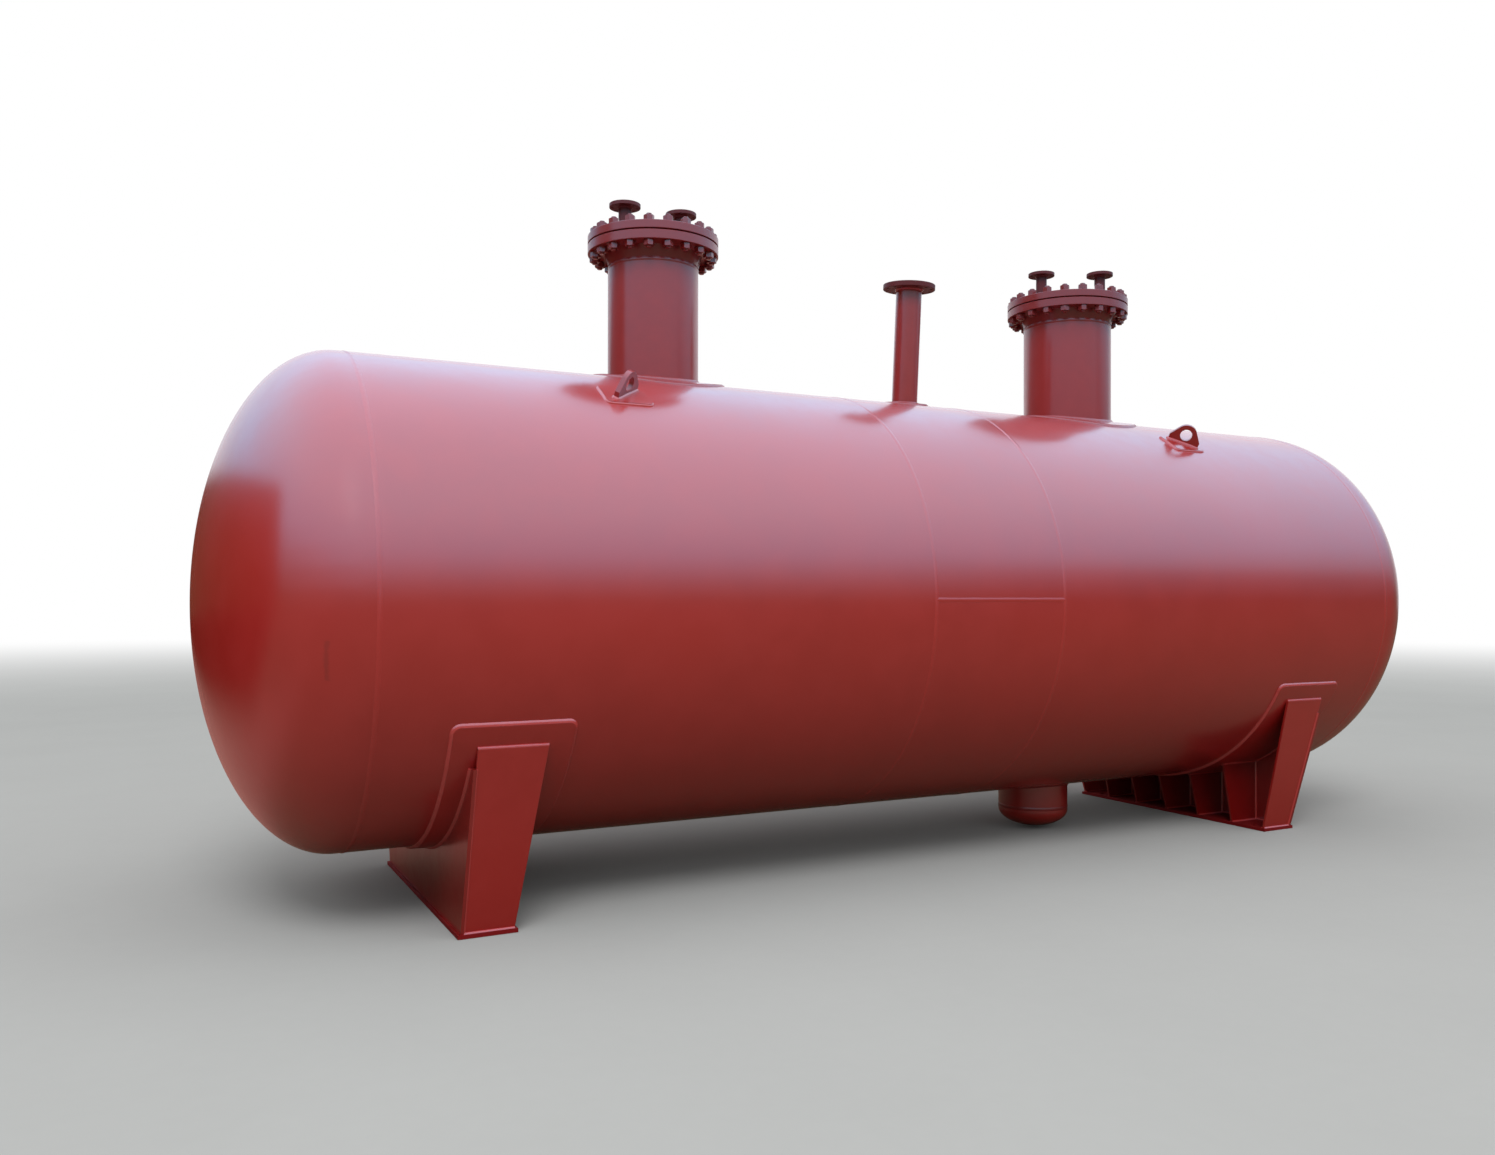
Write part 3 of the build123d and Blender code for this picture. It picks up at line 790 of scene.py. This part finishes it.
def saddlePaths(end, name):  # end is -1 for the left saddle, whose web stands on its left side
    form, leg = saddleForm, saddleForm["leg"]
    wearLow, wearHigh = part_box(name + "_wear_plate")
    webLow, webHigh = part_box(name + "_web")
    plateLow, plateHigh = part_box(name + "_front_end_plate")
    outerX = webHigh.x if end > 0 else webLow.x
    innerX = outerX - end * form["webThickness"]
    footX = innerX - end * form["ribFootWidth"]
    topX = innerX - end * form["ribTopWidth"]
    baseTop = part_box(name + "_base_plate")[1].z
    wearRadius = tank["axisHeight"] - wearLow.z
    topZ, snipZ = plateHigh.z, webHigh.z
    plateRise = topZ - baseTop
    leanRun = -plateLow.y - form["footHalfLength"]
    inset = form["endThickness"] * sqrt(leanRun**2 + plateRise**2) / plateRise
    innerFoot = form["footHalfLength"] - inset

    def leanY(z):  # inner face of the end plate
        return innerFoot + leanRun * (z - baseTop) / plateRise

    def wearY(z):  # face of the wear plate at a height
        return sqrt(wearRadius**2 - (tank["axisHeight"] - z) ** 2)

    def wearAngleAt(y):
        size = pi / 2 - Vector((abs(y), sqrt(wearRadius**2 - y * y))).angle(Vector((1, 0)))
        return size if y > 0 else -size

    thickness = wearRadius - tank["radius"]
    middleX, width = (wearLow.x + wearHigh.x) / 2, wearHigh.x - wearLow.x
    paths = [wearOutline(middleX, width, tank["radius"], form["edgeLeg"], thickness * form["edgeFill"])]
    snipY = wearY(snipZ)
    lastAngle = wearAngleAt(snipY)
    paths.append(wearArc(outerX, -lastAngle, lastAngle, wearRadius, end, form["webLeg"]))
    ribs = [form["ribSpacing"] * k for k in (-2, -1, 0, 1, 2)]
    half = form["ribThickness"] / 2
    stops = [-snipY - form["snipPast"]] + ribs + [snipY + form["snipPast"]]
    for before, after in zip(stops, stops[1:]):  # one bay of the web after another
        first, last = (wearAngleAt(max(-snipY, min(snipY, y))) for y in (before + half, after - half))
        paths.append(wearArc(innerX, first, last, wearRadius, -end, leg))
        inner = Vector((innerX, max(before + half, -innerFoot), baseTop))
        outer = Vector((innerX, min(after - half, innerFoot), baseTop))
        paths.append(straight(inner, outer, -end * alongTank * leg, upright * leg))
    plateLedge = -plateLow.y - wearY(topZ)

    for y in ribs:
        angle = wearAngleAt(y)
        down = toBack * sin(angle) - upright * cos(angle)
        for face in (-1, 1):
            facing = toBack * face
            faceY = y + face * half
            faceTop = tank["axisHeight"] - sqrt(wearRadius**2 - faceY**2)
            slope = (toBack * cos(angle) + upright * sin(angle)) * face
            low, high = Vector((innerX, faceY, baseTop)), Vector((innerX, faceY, faceTop))
            paths.append(straight(low, high, facing * leg, -end * alongTank * leg))
            paths.append(straight(low, Vector((footX, faceY, baseTop)), facing * leg, upright * leg))
            paths.append(straight(high, Vector((topX, faceY, faceTop)), slope * leg, down * leg))

    for side in (-1, 1):  # end plates
        facing = toBack * side
        lean = (facing * leanRun + upright * plateRise).normalized()
        insideLow = Vector((innerX, side * leanY(baseTop), baseTop))
        insideHigh = Vector((innerX, side * leanY(snipZ), snipZ))
        paths.append(straight(insideLow, insideHigh, -end * alongTank * leg, -facing * leg))
        besideEdge = [point + facing * inset for point in (insideLow, insideHigh)]
        ledge = facing * (form["webLedge"] * form["ledgeFill"])
        paths.append(straight(*besideEdge, ledge, -end * alongTank * leg))
        footY = side * form["footHalfLength"]
        outside = [Vector((x, footY, baseTop)) for x in (innerX, footX)]
        paths.append(straight(*outside, facing * leg, lean * leg))
        inside = [Vector((x, side * innerFoot, baseTop)) for x in (innerX, footX)]
        paths.append(straight(*inside, -facing * leg, lean * leg))
        topAngle = wearAngleAt(wearY(topZ))
        wearUp = (facing * cos(topAngle) + upright * sin(topAngle)).normalized()
        top = [Vector((x, side * wearY(topZ), topZ)) for x in (innerX, topX)]
        paths.append(straight(*top, wearUp * form["edgeLeg"], facing * (plateLedge * form["edgeFill"])))
    return paths


for end, side in ((-1, "left"), (1, "right")):
    paths = saddlePaths(end, "saddle_" + side)
    weldPiece("saddle" + side.title() + "Welds", paths, saddleForm["seeds"][side], "weld")
print("saddle welds made")


# Studs and nuts of the access covers
boltingForm = {
    "count": 20,
    "firstAngle": 9.0,
    "tail": 0.010,
    "threadDepth": 0.0014,
    "threadPitch": 0.0040,
    "rowsPerThread": 3,
    "threadPast": 0.004,  # the thread runs on this far into the nut
    "endCut": 1.6,  # the stud's ends are this many thread depths smaller
    "nutFit": 0.0005,  # the nut's bore is this much inside the stud
    "nutTurn": 30.0,  # degrees that one nut may be turned from the next
    "chamferFrom": 0.475,  # share of the nut's width across flats
    "chamferAngle": 30.0,
    "sharpAngle": 35.0,  # edges sharper than this are shaded as edges
    "hubHeight": 0.080,  # from the foot of the flange's hub to the face that the nuts press on
    "left": {"circle": 0.350, "studRadius": 0.0165, "nutFlats": 0.0540, "nutHeight": 0.034, "seed": 7},
    "right": {"circle": 0.385, "studRadius": 0.0180, "nutFlats": 0.0570, "nutHeight": 0.036, "seed": 10},
}


def skinRings(name, rings, joined):  # last ring joined to the first, or else a cap at each end
    around = len(rings[0])
    points = [point for ring in rings for point in ring]
    faces = []
    pairs = list(range(len(rings) - 1)) + ([len(rings) - 1] if joined else [])
    for row in pairs:
        low, high = row * around, (row + 1) % len(rings) * around
        for k in range(around):
            after = (k + 1) % around
            faces.append((low + k, low + after, high + after, high + k))
    if not joined:
        faces.append(tuple(range(around))[::-1])
        faces.append(tuple((len(rings) - 1) * around + k for k in range(around)))
    mesh = bpy.data.meshes.new(name)
    mesh.from_pydata(points, [], faces)
    faceOutwards(mesh)
    mesh.polygons.foreach_set("use_smooth", [True] * len(mesh.polygons))
    mesh.set_sharp_from_angle(angle=radians(boltingForm["sharpAngle"]))
    thing = bpy.data.objects.new(name, mesh)
    bpy.context.scene.collection.objects.link(thing)
    return thing


def hexNut(name, flats, height, bore, perFlat=4):
    around = 6 * perFlat
    chamferStart = flats * boltingForm["chamferFrom"]

    def ring(radius, z):
        points = []
        for k in range(around):
            angle = 2 * pi * k / around
            turned = (angle + pi / 6) % (pi / 3) - pi / 6
            hexRadius = flats / 2 / cos(turned)
            drop = max(0.0, hexRadius - chamferStart) * tan(radians(boltingForm["chamferAngle"]))
            r = hexRadius if radius is None else radius  # no radius: a corner ring of the hexagon
            level = z if radius is not None else (drop if z == 0 else height - drop)
            points.append((r * cos(angle), r * sin(angle), level))
        return points

    rings = [ring(bore, 0.0), ring(chamferStart, 0.0), ring(None, 0.0)]
    rings += [ring(None, height), ring(chamferStart, height), ring(bore, height)]
    return skinRings(name, rings, True)


def threadedStud(name, radius, length, tail, around=16):
    pitch, depth, rows = (boltingForm[key] for key in ("threadPitch", "threadDepth", "rowsPerThread"))
    threaded = tail + boltingForm["threadPast"]
    levels = [k * pitch / rows for k in range(1, int(threaded / pitch * rows) + 1)]
    heights = [0.0] + levels + [length - level for level in reversed(levels)] + [length]
    rings = []
    for z in heights:
        nearEnd = z == 0.0 or z == length
        ring = []
        for k in range(around):
            turn = (z / pitch - k / around) % 1.0
            crest = 1.0 - abs(2.0 * turn - 1.0)
            r = radius - depth * (boltingForm["endCut"] if nearEnd else 1.0 - crest)
            angle = 2 * pi * k / around
            ring.append((r * cos(angle), r * sin(angle), z))
        rings.append(ring)
    return skinRings(name, rings, False)


def boltRingTree():
    group, tree, start = newGeometryTree("boltRing", [
        ("Circle", "Float"),
        ("Count", "Int"),
        ("First Angle", "Float"),
        ("Centre", "Vector"),
        ("Turn", "Float"),
        ("Seed", "Int"),
        ("Paint", "Material"),
    ])
    sockets = {"Vertices": start.other("Count"), "Radius": start.other("Circle")}
    ring = tree.node("GeometryNodeMeshCircle", None, sockets)
    rotation = tree.node("ShaderNodeCombineXYZ", None, {"Z": start.other("First Angle")})
    placed = tree.node("GeometryNodeTransform", None, {
        "Geometry": ring,
        "Translation": start.other("Centre"),
        "Rotation": tree.node("FunctionNodeEulerToRotation", None, {0: rotation}),
    })
    spread = tree.node("FunctionNodeRandomValue", {"data_type": "FLOAT"}, {
        "Min": 0.0,
        "Max": start.other("Turn"),
        "Seed": start.other("Seed"),
    }, out=1)
    aboutZ = tree.node("ShaderNodeCombineXYZ", None, {"Z": spread})
    turned = tree.node("FunctionNodeEulerToRotation", None, {0: aboutZ})
    sockets = {"Points": placed, "Instance": start.other("Geometry"), "Rotation": turned}
    fasteners = tree.node("GeometryNodeInstanceOnPoints", None, sockets)
    closeTree(tree, fasteners, start.other("Paint"), smooth=False)
    return group


ringTree = boltRingTree()
for side in ("left", "right"):
    form, tail, nutTurn = boltingForm[side], boltingForm["tail"], boltingForm["nutTurn"]
    ringX = middleOf(side + "_access_cover").x
    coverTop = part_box(side + "_access_cover")[1].z
    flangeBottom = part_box(side + "_access_flange")[0].z + boltingForm["hubHeight"]
    nutBottom = flangeBottom - form["nutHeight"]
    low = nutBottom - tail
    length = coverTop + form["nutHeight"] + tail - low
    nutSizes = (form["nutFlats"], form["nutHeight"], form["studRadius"] - boltingForm["nutFit"])
    kinds = (
        ("Studs", threadedStud(side + "Stud", form["studRadius"], length, tail), low, 360.0),
        ("UpperNuts", hexNut(side + "UpperNut", *nutSizes), coverTop, nutTurn),
        ("LowerNuts", hexNut(side + "LowerNut", *nutSizes), nutBottom, nutTurn),
    )
    for kindNumber, (kind, source, level, turn) in enumerate(kinds):
        values = {
            "Circle": form["circle"],
            "Count": boltingForm["count"],
            "First Angle": radians(boltingForm["firstAngle"]),
            "Centre": (ringX, 0.0, level),
            "Turn": radians(turn),
            "Seed": form["seed"] + kindNumber,
            "Paint": finishes["bolting"],
        }
        plainPiece(side + kind, source, ringTree, values)
print("bolting made")


# Light: an even pale sky and one large soft lamp in front
lightLook = {
    "horizon": (0.14, 0.14, 0.14),
    "zenith": (2.00, 2.06, 2.08),
    "zenithFrom": 0.85,  # height from which the sky has the zenith's colour
    "shine": (  # the sky as the gloss shows it: heights, and the colour at each
        (0.00, (0.00, 0.10, 0.02)),
        (0.15, (0.28, 0.44, 0.54)),
        (0.35, (0.50, 1.13, 1.65)),
        (0.65, (0.90, 1.54, 2.08)),
        (1.00, (1.10, 1.66, 2.24)),
    ),
    # large cards that only the gloss sees: middle and half width in degrees, the top's height and slope
    "cards": {
        "rear": {  # a bright one behind, which lights the edges seen at a grazing angle
            "colour": (1.05, 1.03, 1.08),
            "strength": 0.9,
            "middle": 60.0,
            "halfWidth": 50.0,
            "top": 0.50,
            "slope": 0.0,
            "edge": 0.12,
        },
        "left": {  # a low dark red one on the left, its top climbing to one end
            "colour": (0.14, 0.040, 0.018),
            "strength": 1.0,
            "middle": 129.5,
            "halfWidth": 43.0,
            "top": 0.306,
            "slope": 0.31,
            "edge": 0.022,
        },
        "right": {  # a dark one on the right, its top falling
            "colour": (0.0, 0.0, 0.0),
            "strength": 0.45,
            "middle": 345.0,
            "halfWidth": 36.0,
            "top": 0.10,
            "slope": -0.30,
            "edge": 0.022,
        },
    },
    "lampPlace": (-6.8, -12.5, 14.8),
    "lampAim": (0.0, 0.0, 1.5),
    "lampSize": 8.0,
    "lampPower": 1590.0,
}

# Floor: plain and pale, and it fades to white far away
floorLook = {
    "radius": 70.0,
    "below": 0.001,  # under the feet of the tank
    "colour": (0.292, 0.292, 0.286),
    "patchesPerMetre": 0.7,
    "patchesShare": 0.5,
    "grainPerMetre": 12.0,
    "grainShare": 0.2,
    "shadeFrom": 0.94,
    "shadeRange": 0.16,
    "fade": (12.0, 45.0),  # metres from the middle: its own colour up to the first, white past the second
    "bounceColour": (0.24, 0.23, 0.22),  # what the tank sees of it is darker ground
    "shineColour": (0.100, 0.075, 0.052),
    "leftBand": (2.3, 3.6),  # past here, towards the left card, the gloss sees this paler ground
    "leftColour": (0.25, 0.112, 0.094),
    "farBand": (5.0, 8.4),  # and past here to the left, in front of the card, this darker one
    "farColour": (0.07, 0.003, 0.0),
    "farSector": (0.68, 0.80),  # cosines of the angle to the card's middle: none, and full
}


def makeFloor():
    mesh = bpy.data.meshes.new("floor")
    form = bmesh.new()
    bmesh.ops.create_circle(form, cap_ends=True, segments=96, radius=floorLook["radius"])
    form.to_mesh(mesh)
    form.free()
    mesh.transform(Matrix.Translation((0, 0, cadLow.z - floorLook["below"])))
    floor = bpy.data.objects.new("floor", mesh)
    bpy.context.scene.collection.objects.link(floor)
    material, tree = newMaterial("paleFloor")
    place = tree.node("ShaderNodeTexCoord").other("Object")
    distance = tree.vector("LENGTH", place, out="Value")
    far = tree.band(distance, *floorLook["fade"])
    patches = tree.noise(place, floorLook["patchesPerMetre"], detail=4.0, roughness=0.6)
    grain = tree.noise(place, floorLook["grainPerMetre"], detail=4.0, roughness=0.6)
    uneven = patches * floorLook["patchesShare"] + grain * floorLook["grainShare"]
    shade = floorLook["shadeFrom"] + uneven * floorLook["shadeRange"]
    channels = {name: shade * level for name, level in zip(("Red", "Green", "Blue"), floorLook["colour"])}
    tone = tree.node("ShaderNodeCombineColor", None, channels)
    ground = tree.node("ShaderNodeBsdfDiffuse", None, {"Color": tone, "Roughness": 0.8})
    white = tree.node("ShaderNodeEmission", None, {"Color": solid((1, 1, 1)), "Strength": 1.0})
    rays = tree.node("ShaderNodeLightPath")
    card = radians(lightLook["cards"]["left"]["middle"])
    towardsCard = tree.vector("DOT_PRODUCT", place, (cos(card), sin(card), 0), out="Value")
    leftward = tree.vector("DOT_PRODUCT", place, (-1, 0, 0), out="Value")
    beyond = tree.band(leftward, *floorLook["farBand"])
    pale = tree.band(towardsCard, *floorLook["leftBand"]) * (1.0 - beyond)
    dark = beyond * tree.band(towardsCard / distance, *floorLook["farSector"])
    shineTone = tree.blend(pale, solid(floorLook["shineColour"]), solid(floorLook["leftColour"]))
    shineTone = tree.blend(dark, shineTone, solid(floorLook["farColour"]))
    bounceTone = tree.blend(rays.other("Is Glossy Ray"), solid(floorLook["bounceColour"]), shineTone)
    bounce = tree.node("ShaderNodeBsdfDiffuse", None, {"Color": bounceTone})
    shown = tree.node("ShaderNodeMixShader", None, {0: far, 1: ground, 2: white})
    surface = tree.node("ShaderNodeMixShader", None, {0: rays.other("Is Camera Ray"), 1: bounce, 2: shown})
    tree.node("ShaderNodeOutputMaterial", None, {"Surface": surface})
    mesh.materials.append(material)


def makeSky():
    world = bpy.data.worlds.new("studio")
    world.use_nodes = True
    world.node_tree.nodes.clear()
    tree = Tree(world.node_tree)
    direction = tree.node("ShaderNodeTexCoord").other("Generated")
    height = tree.node("ShaderNodeSeparateXYZ", None, {0: direction}).other("Z")
    climb = tree.node("ShaderNodeClamp", None, {"Value": height / lightLook["zenithFrom"]})
    sky = tree.blend(climb, solid(lightLook["horizon"]), solid(lightLook["zenith"]))
    shine = solid(lightLook["shine"][0][1])
    for (low, _), (high, colour) in zip(lightLook["shine"], lightLook["shine"][1:]):
        climbed = tree.node("ShaderNodeClamp", None, {"Value": (height - low) / (high - low)})
        shine = tree.blend(climbed, shine, solid(colour))
    rays = tree.node("ShaderNodeLightPath")
    for card in lightLook["cards"].values():
        east, north = cos(radians(card["middle"])), sin(radians(card["middle"]))
        towards = tree.vector("DOT_PRODUCT", direction, (east, north, 0), out="Value")
        across = tree.vector("DOT_PRODUCT", direction, (-north, east, 0), out="Value")
        below = card["top"] + across * card["slope"] - height
        end, soft = cos(radians(card["halfWidth"])), card["edge"]
        mask = tree.band(below, -soft, soft) * tree.band(towards, end - 2 * soft, end + 2 * soft)
        shine = tree.blend(mask * card["strength"], shine, solid(card["colour"]))
    seenSky = tree.blend(rays.other("Is Glossy Ray"), sky, shine)
    lighting = tree.node("ShaderNodeBackground", None, {"Color": seenSky, "Strength": 1.0})
    seen = tree.node("ShaderNodeBackground", None, {"Color": solid((1, 1, 1)), "Strength": 1.0})
    surface = tree.node("ShaderNodeMixShader", None, {0: rays.other("Is Camera Ray"), 1: lighting, 2: seen})
    tree.node("ShaderNodeOutputWorld", None, {"Surface": surface})
    bpy.context.scene.world = world


def makeLamp():
    lamp = bpy.data.lights.new("softLamp", "AREA")
    lamp.shape = "DISK"
    lamp.size = lightLook["lampSize"]
    lamp.energy = lightLook["lampPower"]
    lampObject = bpy.data.objects.new("softLamp", lamp)
    lampObject.location = lightLook["lampPlace"]
    lampObject.visible_glossy = False
    aim = Vector(lightLook["lampAim"]) - lampObject.location
    lampObject.rotation_euler = aim.to_track_quat("-Z", "Y").to_euler()
    bpy.context.scene.collection.objects.link(lampObject)


makeFloor()
makeSky()
makeLamp()

# Camera: at eye level in front of the left half, looking along and slightly to the right
cameraLook = {
    "place": (-4.3163, -6.4565, 1.6346),
    "yaw": 62.4451,  # degrees from +X towards +Y
    "pitch": 0.218,
    "roll": 0.0788,
    "focalPixels": 1166.4,
    "imageWidth": 1495.0,
    "imageHeight": 1155.0,
    "horizonRow": 593.0,
    "sensor": 36.0,
}


def makeCamera():
    look = cameraLook
    yaw, pitch, roll = (radians(look[name]) for name in ("yaw", "pitch", "roll"))
    forward = Vector((cos(yaw) * cos(pitch), sin(yaw) * cos(pitch), sin(pitch)))
    right = Vector((sin(yaw), -cos(yaw), 0))
    up = right.cross(forward)
    rightRolled = right * cos(roll) + up * sin(roll)
    upRolled = up * cos(roll) - right * sin(roll)
    camera = bpy.data.cameras.new("photoCamera")
    camera.sensor_width = look["sensor"]
    camera.lens = look["focalPixels"] * look["sensor"] / look["imageWidth"]
    camera.shift_y = (look["horizonRow"] - look["imageHeight"] / 2) / look["imageWidth"]
    camera.clip_start, camera.clip_end = 0.1, 300.0
    cameraObject = bpy.data.objects.new("photoCamera", camera)
    axes = Matrix((rightRolled, upRolled, -forward)).transposed().to_4x4()
    cameraObject.matrix_world = Matrix.Translation(look["place"]) @ axes
    bpy.context.scene.collection.objects.link(cameraObject)
    bpy.context.scene.camera = cameraObject


makeCamera()
bpy.context.scene.view_settings.view_transform = "Standard"
print("camera and light made")
